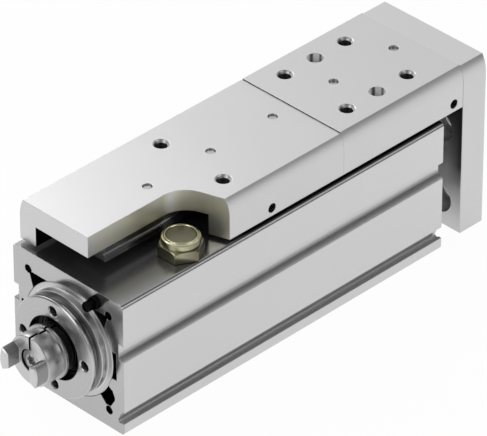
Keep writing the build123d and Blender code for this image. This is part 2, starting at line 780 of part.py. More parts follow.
with BuildPart() as rod_screw:
    rod_head_start = yoke_front - rod_head_depth
    turned([(rod_head_start, rod_head_start + rod_screw_head_height, rod_screw_head_radius, 0)])
    turned([(rod_head_start - rod_screw_length, rod_head_start, rod_screw_radius, 0)])
    rod_face = on_axis(rod_head_start + rod_screw_head_height)
    hexagons(rod_face, centre, rod_screw_head_radius / 2, -rod_screw_head_height / 2, Mode.SUBTRACT)
rod_screw.part.label = "rod_screw"

# Thrust tube: a sleeve clamps the carrier against the nut's flange, the tube runs to the yoke
nut_seat = nut_radius + seat_clearance
with BuildPart() as thrust_tube:
    turned([(carrier_end, nut_end, nut_flange_radius, nut_seat)])
    turned([(nut_end, sleeve_end, nut_flange_radius, thrust_tube_bore)])
    turned([(sleeve_end, tube_end, thrust_tube_radius, thrust_tube_bore)])
thrust_tube.part.label = "thrust_tube"

with BuildPart() as tube_plug:
    plug_bore = rod_screw_radius + seat_clearance
    turned([(tube_end - tube_plug_length, tube_end, thrust_tube_bore - seat_clearance, plug_bore)])
tube_plug.part.label = "tube_plug"

with BuildPart() as spindle_nut:
    thread_bore = spindle_radius + running_clearance
    turned([(nut_start, carrier_start, nut_flange_radius, thread_bore)])
    turned([(carrier_start, nut_end, nut_radius, thread_bore)])
spindle_nut.part.label = "spindle_nut"

magnet_start = carrier_start + (carrier_length - magnet_groove_width) / 2
magnet_end = magnet_start + magnet_groove_width
magnet_floor = carrier_radius - magnet_groove_depth
with BuildPart() as nut_carrier:
    for start, end in ((carrier_start, magnet_start), (magnet_end, carrier_end)):
        with BuildSketch(on_axis(start)) as body:
            Circle(carrier_radius)
            Rectangle(2 * lug_reach, lug_height)
            Circle(nut_seat, mode=Mode.SUBTRACT)
        extrude(body.sketch, amount=end - start)
    turned([(magnet_start, magnet_end, magnet_floor, nut_seat)])
nut_carrier.part.label = "nut_carrier"

with BuildPart() as magnet_ring:
    turned([(magnet_start, magnet_end, carrier_radius, magnet_floor + seat_clearance)])
magnet_ring.part.label = "magnet_ring"

# Spindle with its lock nut and the coupling half
hub_back = flange_nose + hub_set_back
hub_front = hub_back - hub_length
stub_end = hub_back - stub_in_hub
locknut_end = bearing_start - locknut_boss_width
locknut_start = locknut_end - locknut_width
screw_seat = hub_front + clamp_head_sink + clamp_head_height
screw_tip = screw_seat + clamp_shank_length
with BuildPart() as ball_screw:
    turned([(bearing_end, spindle_end, spindle_radius, 0)])
    turned([(locknut_start, bearing_end, journal_radius, 0)])
    turned([(stub_end, locknut_start, stub_radius, 0)])
    tip_depth = screw_tip - stub_end + free_gap
    discs(on_axis(stub_end), centre, clamp_shank_radius + seat_clearance, tip_depth, Mode.SUBTRACT)
ball_screw.part.label = "ball_screw"

with BuildPart() as lock_nut:
    turned([(locknut_start, locknut_end, locknut_radius, journal_radius + seat_clearance)])
    turned([(locknut_end, bearing_start, locknut_boss_radius, journal_radius + seat_clearance)])
lock_nut.part.label = "lock_nut"

rim_start = flange_nose + flange_reach - hub_rim_reach
with BuildPart() as coupling_hub:
    groove_front = rim_start - hub_groove_width
    turned([(hub_front, groove_front, hub_radius, 0)])
    chamfer(coupling_hub.edges().group_by(Axis.X)[0], hub_chamfer)
    turned([(groove_front, rim_start, hub_groove_radius, 0)])
    turned([(rim_start, rim_start + hub_rim_width, hub_rim_radius, 0)])
    turned([(rim_start + hub_rim_width, hub_back, hub_tail_radius, 0)])
    with BuildSketch(on_axis(hub_front - claw_length)) as claws:
        Circle(claw_radius)
        spread = 2 * claw_radius
        half_rise = spread * tan(radians(claw_half_angle))
        with BuildSketch(mode=Mode.INTERSECT):
            Polygon((0, 0), (spread, -half_rise), (spread, half_rise), align=None)
            Polygon((0, 0), (-spread, half_rise), (-spread, -half_rise), align=None)
        Rectangle(2 * claw_flat, spread, mode=Mode.SUBTRACT)
    extrude(claws.sketch, amount=claw_length)
    chamfer(coupling_hub.edges().group_by(Axis.X)[0], claw_chamfer)
    discs(on_axis(hub_front), centre, clamp_recess_radius, screw_seat - hub_front, Mode.SUBTRACT)
    discs(on_axis(hub_front), centre, clamp_shank_radius + seat_clearance, hub_length, Mode.SUBTRACT)
    discs(on_axis(stub_end), centre, stub_radius + seat_clearance, hub_back - stub_end, Mode.SUBTRACT)
    with BuildSketch(on_axis(hub_front)) as slit:
        with Locations((0, hub_radius)):
            Rectangle(hub_slit_width, 2 * (hub_radius - stub_radius))
    extrude(slit.sketch, amount=hub_length, mode=Mode.SUBTRACT)
coupling_hub.part.label = "coupling_hub"

with BuildPart() as coupling_screw:
    head_end = screw_seat - clamp_head_height
    turned([(head_end, screw_seat, clamp_head_radius, 0)])
    turned([(screw_seat, screw_tip, clamp_shank_radius, 0)])
    with BuildSketch(on_axis(head_end)) as star:
        Circle(star_radius)
        with PolarLocations(star_radius, 6):
            Circle(star_lobe_radius)
    extrude(star.sketch, amount=star_depth, mode=Mode.SUBTRACT)
coupling_screw.part.label = "coupling_screw"

nodes = [
    housing_profile,
    drive_flange,
    locating_pin,
    channel_screws,
    bearing_outer_rings,
    bearing_inner_rings,
    bearing_balls,
    bearing_retainer,
    rear_buffer,
    front_buffer,
    front_cap,
    guide_bush,
    rod_scraper,
    cap_clip,
    front_carriage,
    rear_carriage,
    carriage_end_caps,
    carriage_screws,
    vent_body,
    vent_disc,
    slide_plate,
    guide_rail,
    rail_screws,
    yoke_plate,
    yoke_screws,
    yoke_dowels,
    rod_screw,
    thrust_tube,
    tube_plug,
    spindle_nut,
    nut_carrier,
    magnet_ring,
    ball_screw,
    lock_nut,
    coupling_hub,
    coupling_screw,
]
for node in nodes:
    export_step(node.part, f"parts/{node.part.label}.step")
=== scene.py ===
"""Dresses the miniature linear slide: finishes for its CAD nodes, finer pieces, and a plain studio."""

import math

import bpy
from bpy.props import FloatProperty, FloatVectorProperty, IntProperty, PointerProperty
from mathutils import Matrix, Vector


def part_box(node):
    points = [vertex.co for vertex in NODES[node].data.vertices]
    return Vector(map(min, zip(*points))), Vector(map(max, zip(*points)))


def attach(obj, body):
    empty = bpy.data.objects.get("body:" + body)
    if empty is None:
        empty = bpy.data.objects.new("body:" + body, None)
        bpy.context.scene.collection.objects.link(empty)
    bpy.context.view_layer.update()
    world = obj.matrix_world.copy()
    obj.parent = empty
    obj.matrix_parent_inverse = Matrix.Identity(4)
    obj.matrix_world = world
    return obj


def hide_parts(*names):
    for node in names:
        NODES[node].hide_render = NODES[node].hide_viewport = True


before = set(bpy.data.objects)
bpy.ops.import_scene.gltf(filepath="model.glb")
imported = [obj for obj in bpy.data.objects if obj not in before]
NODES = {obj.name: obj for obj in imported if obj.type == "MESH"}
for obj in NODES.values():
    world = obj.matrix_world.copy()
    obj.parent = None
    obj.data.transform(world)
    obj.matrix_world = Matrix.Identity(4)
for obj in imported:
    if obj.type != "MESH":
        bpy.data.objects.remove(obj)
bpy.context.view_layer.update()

bl_info = {
    "name": "Miniature Linear Slide",
    "version": (1, 0, 0),
    "blender": (4, 5, 0),
    "location": "View3D > Sidebar > Slide",
    "description": "Finishes, fine pieces and studio for a miniature linear slide",
    "category": "Object",
}

# Places and sizes in metres. X runs along the travel, away from the motor face, Y across it, and Z up.

AXIS_Z = 0.02225
MOTOR_FACE = -0.06475
HOUSING_TOP = 0.0445
SLOT_LOW = 0.02590
CLAMP_LOW, CLAMP_HIGH = 0.0036, 0.0079
CAVITY_X, CAVITY_Y = 0.0646, 0.0196
CAVITY_LOW, CAVITY_HIGH = 0.0030, 0.0421

FLANGE_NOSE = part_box("drive_flange")[0].x
FLANGE_BORE = 0.0100
FLANGE_LIP = 0.0160
GROOVE_FLOOR = 0.0144
SPANNER_CIRCLE = 0.0125
CLAW_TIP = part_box("coupling_hub")[0].x
CLAW_LENGTH = 0.0048

SLIDE_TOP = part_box("slide_plate")[1].z
SLIDE_SIDE = 0.02125
CHANNEL_HALF, CHANNEL_TOP = 0.01490, 0.05225
YOKE_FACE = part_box("yoke_plate")[0].x
PAD_LENGTH = 0.0497
PAD_STEP = 0.0003
PAD_START = YOKE_FACE - PAD_LENGTH
NOTCH_SIDE, NOTCH_END = -0.00625, -0.02685
NOTCH_CORNER, NOTCH_SLOPE = -0.00635, 0.3405
HOLE_ROW = 0.0125
TOP_HOLES = (-0.0158, 0.0342, 0.0592)
CENTRING_X, CENTRING_RADIUS = 0.0467, 0.00262
SIDE_HOLES = (-0.00505, 0.06995)
SIDE_HOLE_Z = 0.0483
THREAD_FOOT = 0.0523

VENT_HEIGHT = 0.0037
PIN_CENTRE = (0.0, -0.0116, 0.04115)
CHANNEL_SCREWS = ((0.0162, 0.0384), (-0.0161, 0.00585))

# Finish and camera

CRISP = 0.00005
ALUMINIUM_METALLIC = 0.9
DRAWN_LINES = (120.0, 2200.0, 2200.0)
CAMERA_AZIMUTH, CAMERA_HEIGHT = -44.984, 34.783
CAMERA_AIM = (0.005916, 0.001177, 0.028447)
CAMERA_DISTANCE = 1.6276
CAMERA_LENS, CAMERA_SENSOR = 417.46, 36.0


# Shader sums and nodes


class Flow:
    """A shader socket that takes part in sums; each operator adds its Math node."""

    def __init__(self, tree, socket):
        self.tree = tree
        self.socket = socket

    def _math(self, operation, first, second=0.0):
        node = self.tree.nodes.new("ShaderNodeMath")
        node.operation = operation
        for entry, value in zip(node.inputs, (first, second)):
            if isinstance(value, Flow):
                self.tree.links.new(value.socket, entry)
            else:
                entry.default_value = value
        return Flow(self.tree, node.outputs[0])

    def __add__(self, other):
        return self._math("ADD", self, other)

    __radd__ = __add__

    def __sub__(self, other):
        return self._math("SUBTRACT", self, other)

    def __rsub__(self, other):
        return self._math("SUBTRACT", other, self)

    def __mul__(self, other):
        return self._math("MULTIPLY", self, other)

    __rmul__ = __mul__

    def __truediv__(self, other):
        return self._math("DIVIDE", self, other)

    def __pow__(self, other):
        return self._math("POWER", self, other)

    def held(self):
        """The value kept between 0 and 1."""
        positive = self._math("MAXIMUM", self, 0.0)
        return positive._math("MINIMUM", positive, 1.0)


class Finish:
    """A surface finish: a material with one method that adds any node to it."""

    def __init__(self, name):
        self.material = bpy.data.materials.new(name)
        self.material.use_nodes = True
        self.tree = self.material.node_tree
        self.shader = self.tree.nodes["Principled BSDF"]

    def feed(self, entry, value):
        if isinstance(value, Flow):
            self.tree.links.new(value.socket, entry)
        else:
            entry.default_value = value

    def node(self, kind, settings=None, inputs=None, output=0):
        node = self.tree.nodes.new(kind)
        for key, value in (settings or {}).items():
            setattr(node, key, value)
        for key, value in (inputs or {}).items():
            self.feed(node.inputs[key], value)
        return Flow(self.tree, node.outputs[output])

    def place(self, scale=(1.0, 1.0, 1.0), shift=(0.0, 0.0, 0.0)):
        """Object coordinates, moved and stretched."""
        where = self.node("ShaderNodeTexCoord", output="Object")
        return self.node("ShaderNodeMapping", inputs={"Vector": where, "Scale": scale, "Location": shift})

    def noise(self, vector, scale, detail=2.0):
        return self.node("ShaderNodeTexNoise", inputs={"Vector": vector, "Scale": scale, "Detail": detail})

    def blend(self, factor, dark, light):
        """Colour between dark and light."""
        return self.node(
            "ShaderNodeMix",
            {"data_type": "RGBA"},
            {"Factor": factor, 6: (*dark, 1.0), 7: (*light, 1.0)},
            output=2,
        )

    def over(self, base, mask, tint):
        """A colour laid over a base where the mask is 1."""
        colours = {"Factor": mask, 6: base, 7: (*tint, 1.0)}
        return self.node("ShaderNodeMix", {"data_type": "RGBA"}, colours, output=2)

    def spot(self):
        """Object X, Y and Z as three values."""
        where = self.node("ShaderNodeTexCoord", output="Object")
        parts = self.node("ShaderNodeSeparateXYZ", inputs={"Vector": where}).socket.node.outputs
        return [Flow(self.tree, parts[index]) for index in range(3)]

    def rings(self, centre, axis, pitch):
        """Fine rings round an axis, as a turning tool leaves them."""
        shift = tuple(-value for value in centre)
        spot = self.place(shift=shift)
        parts = self.node("ShaderNodeSeparateXYZ", inputs={"Vector": spot}).socket.node.outputs
        flat = [Flow(self.tree, parts[index]) for index in range(3) if index != axis]
        radius = (flat[0] * flat[0] + flat[1] * flat[1]) ** 0.5
        along = Flow(self.tree, parts[axis])
        return self.node(
            "ShaderNodeTexNoise",
            {"noise_dimensions": "1D"},
            {"W": (radius + along * 0.73) / pitch, "Scale": 1.0, "Detail": 1.0},
        )

    def edges(self, radius):
        """Normals that roll over sharp edges."""
        return self.node("ShaderNodeBevel", {"samples": 6}, {"Radius": radius})

    def bump(self, height, strength, distance, normal=None):
        inputs = {"Height": height, "Strength": strength, "Distance": distance}
        if normal is not None:
            inputs["Normal"] = normal
        return self.node("ShaderNodeBump", None, inputs)

    def surface(self, **sockets):
        for key, value in sockets.items():
            self.feed(self.shader.inputs[key.replace("_", " ")], value)
        return self.material


def shade(colour, factor):
    """A colour made darker or lighter."""
    return tuple(min(1.0, channel * factor) for channel in colour)


def grey(level):
    return (level, level, level)


def above(value, low, soft=CRISP):
    """1 where a value is over a limit, fading to 0 over a soft edge."""
    return ((value - low) / soft + 0.5).held()


def below(value, high, soft=CRISP):
    """1 where a value is under a limit, fading to 0 over a soft edge."""
    return ((high - value) / soft + 0.5).held()


def between(value, low, high, soft=CRISP):
    return above(value, low, soft) * below(value, high, soft)


def within(value, half, soft=CRISP):
    return between(value, -half, half, soft)


def off_axis(y, z):
    """Distance from the spindle's axis."""
    rise = z - AXIS_Z
    return (y * y + rise * rise) ** 0.5


def from_hole_row(y):
    """Distance outward from the nearer row of top holes, and that row's side, -1 or 1."""
    return (y * y) ** 0.5 - HOLE_ROW, above(y, 0.0, 0.0001) * 2.0 - 1.0


def anodised_metal(name, colour, roughness, zones):
    """Satin aluminium with faint drawn lines along the travel and soft clouding.

    zones gives rows of mask, colour, roughness and, where it differs, metallic, each laid over the last."""
    finish = Finish(name)
    lines = finish.noise(finish.place(scale=DRAWN_LINES), 1.0, detail=3.0)
    cloud = finish.noise(finish.place(), 26.0, detail=3.0)
    base = finish.blend(lines * 0.4 + cloud * 0.6, shade(colour, 0.93), shade(colour, 1.05))
    normal = finish.bump(lines, 0.02, 0.00002, finish.edges(0.00022))
    grain = (lines - 0.5) * 0.05 + (cloud - 0.5) * 0.08
    level, metal = roughness, ALUMINIUM_METALLIC
    for mask, tint, smoothness, *other in zones(finish):
        base = finish.over(base, mask, tint)
        level = level + (smoothness - level) * mask
        for metal_here in other:
            metal = metal + (metal_here - metal) * mask
    return finish.surface(Base_Color=base, Metallic=metal, Roughness=level + grain, Normal=normal)


def turned_metal(name, colour, roughness, pitch=0.00016, depth=0.35, zones=None):
    """Metal with the fine rings of a turning tool round the spindle's axis.

    zones gives rows of mask and colour, each laid over the last."""
    finish = Finish(name)
    rings = finish.rings((0.0, 0.0, AXIS_Z), 0, pitch)
    cloud = finish.noise(finish.place(), 180.0, detail=3.0)
    base = finish.blend(rings * 0.7 + cloud * 0.3, shade(colour, 0.86), shade(colour, 1.08))
    for mask, tint in zones(finish) if zones else ():
        base = finish.over(base, mask, tint)
    normal = finish.bump(rings, depth, 0.00003, finish.edges(0.0002))
    level = roughness + (rings - 0.5) * 0.14
    return finish.surface(Base_Color=base, Metallic=1.0, Roughness=level, Normal=normal)


def plain_steel(name, colour, roughness, sheen=1.0):
    """Ground or blackened steel with a fine even grain."""
    finish = Finish(name)
    grain = finish.noise(finish.place(), 900.0, detail=4.0)
    cloud = finish.noise(finish.place(), 90.0)
    base = finish.blend(grain * 0.5 + cloud * 0.5, shade(colour, 0.82), shade(colour, 1.15))
    normal = finish.bump(grain, 0.08, 0.00002, finish.edges(0.00015))
    finish.shader.inputs["Specular Tint"].default_value = (*grey(sheen), 1.0)
    level = roughness + (grain - 0.5) * 0.12
    return finish.surface(Base_Color=base, Metallic=1.0, Roughness=level, Normal=normal)


def moulded(name, colour, roughness):
    """Moulded plastic or rubber with a faint stipple."""
    finish = Finish(name)
    stipple = finish.noise(finish.place(), 2600.0, detail=2.0)
    cloud = finish.noise(finish.place(), 70.0)
    base = finish.blend(cloud, shade(colour, 0.85), shade(colour, 1.2))
    normal = finish.bump(stipple, 0.12, 0.00003, finish.edges(0.0002))
    return finish.surface(Base_Color=base, Roughness=roughness + (stipple - 0.5) * 0.15, Normal=normal)


def sintered(name, colour):
    """Sintered metal: small fused grains with dark pores between them."""
    finish = Finish(name)
    where = finish.place()
    grains = finish.node("ShaderNodeTexVoronoi", None, {"Vector": where, "Scale": 3400.0})
    cloud = finish.noise(where, 420.0, detail=4.0)
    pores = (1.0 - grains) ** 2.0
    base = finish.blend(pores * 0.7 + cloud * 0.4, shade(colour, 0.35), shade(colour, 1.3))
    normal = finish.bump(pores, 0.7, 0.0001)
    return finish.surface(Base_Color=base, Metallic=0.7, Roughness=0.55 + (cloud - 0.5) * 0.2, Normal=normal)


def floor_finish(name):
    """White floor that keeps a soft shadow, and stays white where metal mirrors it."""
    finish = Finish(name)
    faint = finish.noise(finish.place(), 3.0)
    base = finish.blend(faint, grey(0.90), grey(0.92))
    finish.surface(Base_Color=base, Roughness=0.9)
    rays = finish.node("ShaderNodeLightPath")
    outlets = rays.socket.node.outputs
    seen = Flow(finish.tree, outlets["Is Camera Ray"]) * 0.97
    mirrored = Flow(finish.tree, outlets["Is Glossy Ray"]) * 0.80
    through = Flow(finish.tree, outlets["Is Transmission Ray"]) * 0.80
    glow = finish.tree.nodes.new("ShaderNodeEmission")
    glow.inputs["Strength"].default_value = 1.0
    mixer = finish.tree.nodes.new("ShaderNodeMixShader")
    finish.feed(mixer.inputs[0], seen + mirrored + through)
    finish.tree.links.new(finish.shader.outputs[0], mixer.inputs[1])
    finish.tree.links.new(glow.outputs[0], mixer.inputs[2])
    output = next(node for node in finish.tree.nodes if node.type == "OUTPUT_MATERIAL")
    finish.tree.links.new(mixer.outputs[0], output.inputs[0])
    return finish.material


# Modelling helpers


def deselect():
    if bpy.context.object and bpy.context.object.mode != "OBJECT":
        bpy.ops.object.mode_set(mode="OBJECT")
    bpy.ops.object.select_all(action="DESELECT")


def start_ring(centre, axis, radius, segments):
    """Adds an open circle square to an axis, in edit mode."""
    turn = {0: (0.0, math.pi / 2, 0.0), 1: (math.pi / 2, 0.0, 0.0), 2: (0.0, 0.0, 0.0)}[axis]
    bpy.ops.mesh.primitive_circle_add(vertices=segments, radius=radius, location=centre, rotation=turn)
    bpy.ops.object.transform_apply(location=True, rotation=True, scale=True)
    bpy.ops.object.mode_set(mode="EDIT")
    bpy.ops.mesh.select_mode(type="VERT")
    bpy.ops.mesh.select_all(action="SELECT")


def lathe(name, profile, centre, axis=0, segments=96):
    """Round piece: a ring is extruded and resized through the profile's (along, radius) points.

    A profile that comes back to its first point is a closed ring, and any other gets flat ends."""
    deselect()
    along, radius = profile[0]
    origin = Vector(centre)
    step = Vector((0.0, 0.0, 0.0))
    step[axis] = 1.0
    start_ring(origin + step * along, axis, radius, segments)
    for point in profile[1:]:
        move = step * (point[0] - along)
        bpy.ops.mesh.extrude_region_move(TRANSFORM_OT_translate={"value": move})
        ratio = point[1] / radius
        factors = [ratio, ratio, ratio]
        factors[axis] = 1.0
        bpy.ops.transform.resize(value=factors, center_override=origin + step * point[0])
        along, radius = point
    bpy.ops.mesh.select_all(action="SELECT")
    if profile[0] == profile[-1]:
        bpy.ops.mesh.remove_doubles(threshold=2e-6)
    else:
        bpy.ops.mesh.fill_holes(sides=0)
    bpy.ops.mesh.select_all(action="SELECT")
    bpy.ops.mesh.normals_make_consistent(inside=False)
    bpy.ops.object.mode_set(mode="OBJECT")
    obj = bpy.context.object
    obj.name = name
    obj.data.name = name
    return obj


def soften(obj, width, segments=2, angle=30.0):
    """Rounds the sharp edges with a bevel, then smooths the shading."""
    deselect()
    obj.select_set(True)
    bpy.context.view_layer.objects.active = obj
    bevel = obj.modifiers.new("edge", "BEVEL")
    bevel.width = width
    bevel.segments = segments
    bevel.limit_method = "ANGLE"
    bevel.angle_limit = math.radians(angle)
    bevel.use_clamp_overlap = True
    bpy.ops.object.modifier_apply(modifier=bevel.name)
    bpy.ops.object.shade_smooth_by_angle(angle=math.radians(40.0))


def cut(obj, cutter):
    """Takes the cutter's space out of a piece and removes the cutter."""
    deselect()
    obj.select_set(True)
    bpy.context.view_layer.objects.active = obj
    knife = obj.modifiers.new("cut", "BOOLEAN")
    knife.operation = "DIFFERENCE"
    knife.solver = "EXACT"
    knife.object = cutter
    bpy.ops.object.modifier_apply(modifier=knife.name)
    bpy.data.objects.remove(cutter)


def join(name, pieces):
    """One object out of several."""
    deselect()
    for piece in pieces:
        piece.select_set(True)
    bpy.context.view_layer.objects.active = pieces[0]
    bpy.ops.object.join()
    pieces[0].name = name
    pieces[0].data.name = name
    return pieces[0]


def copied_node(node, name):
    """A new mesh with a CAD node's form, its loose triangles merged into flat faces."""
    deselect()
    obj = NODES[node].copy()
    obj.data = NODES[node].data.copy()
    obj.parent = None
    for key in list(obj.keys()):
        del obj[key]
    bpy.context.scene.collection.objects.link(obj)
    obj.name = name
    obj.data.name = name
    obj.select_set(True)
    bpy.context.view_layer.objects.active = obj
    bpy.ops.object.mode_set(mode="EDIT")
    bpy.ops.mesh.select_all(action="SELECT")
    bpy.ops.mesh.remove_doubles(threshold=1e-6)
    bpy.ops.mesh.dissolve_limited(angle_limit=math.radians(0.6))
    bpy.ops.object.mode_set(mode="OBJECT")
    return obj


def finish_piece(obj, material, body, nodes=()):
    """Gives a piece its material and body, and hides the CAD nodes it stands for."""
    obj.data.materials.clear()
    obj.data.materials.append(material)
    for face in obj.data.polygons:
        face.material_index = 0
    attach(obj, body)
    if nodes:
        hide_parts(*nodes)


def coat(nodes, material):
    """Gives CAD nodes a material."""
    for node in nodes:
        obj = NODES[node]
        if not obj.data.materials:
            obj.data.materials.append(material)
        for index in range(len(obj.data.materials)):
            obj.data.materials[index] = material


def ridges(name, centre, axis, crest, wall, start, end, pitch, segments=40):
    """Screw ridges inside a hole: a sleeve whose inner side goes in and out."""
    count = max(1, int(abs(end - start) / pitch))
    sign = 1.0 if end > start else -1.0
    profile = [(start, wall + 0.0002)]
    for index in range(count):
        base = start + sign * index * pitch
        profile += [(base, wall), (base + sign * pitch * 0.5, crest)]
    far = start + sign * count * pitch
    profile += [(far, wall), (far, wall + 0.0002), profile[0]]
    return lathe(name, profile, centre, axis, segments)


def slide_zones(finish):
    """Painted shade in the channel, an olive painted reflection with a lighter painted band on the notch
    walls, the pad's step, the seam with a painted highlight along the top, painted shade on the yoke's inner
    face, and painted light and painted reflections in the centring holes.
    """
    x, y, z = finish.spot()
    top = above(z, 0.05910)
    slant = x + (y - NOTCH_CORNER) * NOTCH_SLOPE
    # Painted reflection: the notch walls are tinted olive, standing in for the brass vent mirrored in them,
    # with a lighter grey painted band across them.
    notch = below(slant, NOTCH_END) * below(y, NOTCH_SIDE)
    notch = notch * between(z, 0.0450, 0.05905) * above(x, -0.0605, 0.0080)
    notch_reflection_band = notch * between(x - y, -0.0248, -0.0231, 0.0014)
    # Painted shade: the inside of the channel is painted near black.
    channel = within(y, CHANNEL_HALF) * between(z, 0.0, CHANNEL_TOP) * below(x, YOKE_FACE - 0.0001)
    step = between(x, PAD_START - 0.00004, PAD_START + 0.00001, 0.00001)
    seam = between(x, YOKE_FACE - 0.00006, YOKE_FACE + 0.00012, 0.00002)
    inner = between(x, YOKE_FACE - 0.0001, YOKE_FACE + 0.0001) * between(z, 0.0, 0.0451, 0.0002)
    # Painted shade on the yoke's inner face: dark near its top and along its near edge.
    high = inner * above(z, 0.0400, 0.0120)
    yoke_edge_shade = inner * below(y, -0.0180, 0.0050) * above(z, 0.0200, 0.0080)
    along = x - CENTRING_X
    across, side = from_hole_row(y)
    radius = (along * along + across * across) ** 0.5
    # Painted light and reflection in the centring holes: near-white non-metal walls stand in for light inside
    # them, crossed by two dark painted reflection bands.
    hole = below(radius, CENTRING_RADIUS, 0.00002) * between(z, 0.0500, SLIDE_TOP - 0.00003, 0.00002)
    diagonal = (along - across * side) * math.sqrt(0.5)
    hole_reflection_bands = between(diagonal, -0.00160, -0.00060, 0.0004)
    hole_reflection_bands = hole_reflection_bands + between(diagonal, 0.00120, 0.00190, 0.0003) * 0.8
    return [
        (top, (0.645, 0.645, 0.65), 0.34),
        (notch, (0.71, 0.70, 0.60), 0.36),
        (notch_reflection_band, (0.70, 0.70, 0.74), 0.36),
        (channel, grey(0.008), 0.6),
        (step, grey(0.10), 0.5),
        (seam, grey(0.28), 0.5),
        # Painted highlight: a near-white hairline where the seam meets the top; elsewhere the seam is a dark
        # joint line.
        (seam * top, grey(0.95), 0.5),
        (inner, grey(0.66), 0.4),
        (high, grey(0.06), 0.4),
        (yoke_edge_shade, grey(0.10), 0.4),
        (hole, grey(0.96), 0.5, 0.0),
        (hole * hole_reflection_bands, grey(0.10), 0.5, 0.0),
    ]


def housing_zones(finish):
    """Smooth motor face, dark top with painted shade under the slide, painted black shade in the cavity,
    painted highlights on the edge chamfers and painted shade in the slots.
    """
    x, y, z = finish.spot()
    face = below(x, MOTOR_FACE + 0.00005)
    top = above(z, HOUSING_TOP - 0.0001)
    # Painted shade: the top under the slide fades to near black between x -24.5 and -14.5 mm.
    painted_shade_under_slide = top * above(x, -0.0195, 0.0100)
    # Painted shade: the hidden cavity inside is painted near black.
    inside = within(x, CAVITY_X, 0.0001) * within(y, CAVITY_Y, 0.0001)
    inside = inside * between(z, CAVITY_LOW, CAVITY_HIGH, 0.0001)
    # Painted highlight: the chamfers along the top edges are painted near white.
    chamfer = between(z, 0.0438, 0.04441) * (1.0 - within(y, 0.0215))
    side_line = between(z, 0.04362, 0.04387, 0.00004) * (1.0 - within(y, 0.0220))
    top_line = above(z, 0.04425, 0.00004) * between(y, -0.02180, -0.02145, 0.00004)
    # Painted light and shade in the side slots: light up the wall and darkening towards the slot's bottom,
    # and the low clamp slot painted darker.
    slot = within(y, 0.02220, 0.00003) * (1.0 - within(y, 0.0202, 0.0001))
    ledge_shade = slot * between(z, SLOT_LOW - 0.0002, SLOT_LOW + 0.0004, 0.0010)
    hollow_shade = slot * between(z, SLOT_LOW - 0.0002, SLOT_LOW + 0.0015, 0.0012)
    wall = slot * between(z, SLOT_LOW + 0.0015, SLOT_LOW + 0.0052, 0.0006)
    clamp = slot * between(z, CLAMP_LOW, CLAMP_HIGH, 0.0001)
    return [
        (face, (0.53, 0.53, 0.535), 0.14),
        (top, (0.38, 0.38, 0.385), 0.22),
        (painted_shade_under_slide, grey(0.02), 0.5),
        (inside, grey(0.008), 0.6),
        (chamfer, grey(0.95), 0.30),
        (wall, grey(0.74), 0.40),
        (hollow_shade, grey(0.66), 0.70, 0.3),
        (ledge_shade, grey(0.24), 0.70, 0.3),
        (clamp, grey(0.50), 0.60, 0.5),
        (side_line, grey(0.08), 0.5),
        (top_line, grey(0.08), 0.5),
    ]


def flange_zones(finish):
    """Front, painted shade in the groove, a painted highlight on the edge at the housing and painted shade in
    the bore.
    """
    x, y, z = finish.spot()
    radius = off_axis(y, z)
    front = below(x, FLANGE_NOSE + 0.0001, 0.0001) * above(radius, 0.0102, 0.0001)
    # Painted shade in the groove and bore, and a painted highlight on the edge at the housing.
    groove = between(x, FLANGE_NOSE + 0.0013, FLANGE_NOSE + 0.0038, 0.0001)
    corner_highlight = between(radius, 0.01600, 0.01618, 0.00003) * above(x, MOTOR_FACE - 0.0003, 0.0001)
    bore = below(radius, 0.01015, 0.0001)
    return [
        (front, (0.52, 0.52, 0.525)),
        (groove, grey(0.22)),
        (corner_highlight, grey(0.85)),
        (bore, grey(0.03)),
    ]


def coupling_zones(finish):
    """Painted shade on the round sides and on each claw, painted light on the flat faces, and painted black
    shade in the cut and the screw's recess.
    """
    x, y, z = finish.spot()
    radius = off_axis(y, z)
    claw_foot = CLAW_TIP + CLAW_LENGTH
    # Painted light and shade: round sides and each claw darker, the flat front and claw ends lighter, the cut
    # and the screw's recess near black.
    sides = above(radius, 0.00738, 0.0001)
    claws_shade = between(x, CLAW_TIP + 0.0005, claw_foot - 0.0001, 0.0001)
    front = between(x, claw_foot - 0.0001, claw_foot + 0.0001)
    tips_highlight = below(x, CLAW_TIP + 0.00055, 0.0001)
    slit_shade = within(y, 0.00037, 0.00002) * above(z, AXIS_Z + 0.0025, 0.0001)
    recess = between(radius, 0.00365, 0.00390, 0.00003) * above(x, -0.0795, 0.0001)
    return [
        (sides, grey(0.46)),
        (claws_shade, grey(0.30)),
        (front, grey(0.62)),
        (tips_highlight, grey(0.66)),
        (slit_shade, grey(0.008)),
        (recess, grey(0.02)),
    ]


# Sizes and colours that can be changed


class SlideSizes(bpy.types.PropertyGroup):
    vent_x: FloatProperty(
        name="Vent X", description="Vent centre along the travel", default=-0.03455, unit="LENGTH"
    )
    vent_y: FloatProperty(
        name="Vent Y", description="Vent centre across the travel", default=-0.0146, unit="LENGTH"
    )
    vent_flats: FloatProperty(
        name="Vent flats", description="Width across the hexagon", default=0.012, unit="LENGTH"
    )
    vent_rim: FloatProperty(
        name="Vent rim", description="Radius of the crimped rim", default=0.0050, unit="LENGTH"
    )
    top_thread: FloatProperty(
        name="Top thread", description="Radius of the slide's top holes", default=0.0021, unit="LENGTH"
    )
    side_thread: FloatProperty(
        name="Side thread", description="Radius of the slide's side holes", default=0.0015, unit="LENGTH"
    )
    round_segments: IntProperty(
        name="Round segments", description="Faces round a turned piece", default=128, min=24
    )


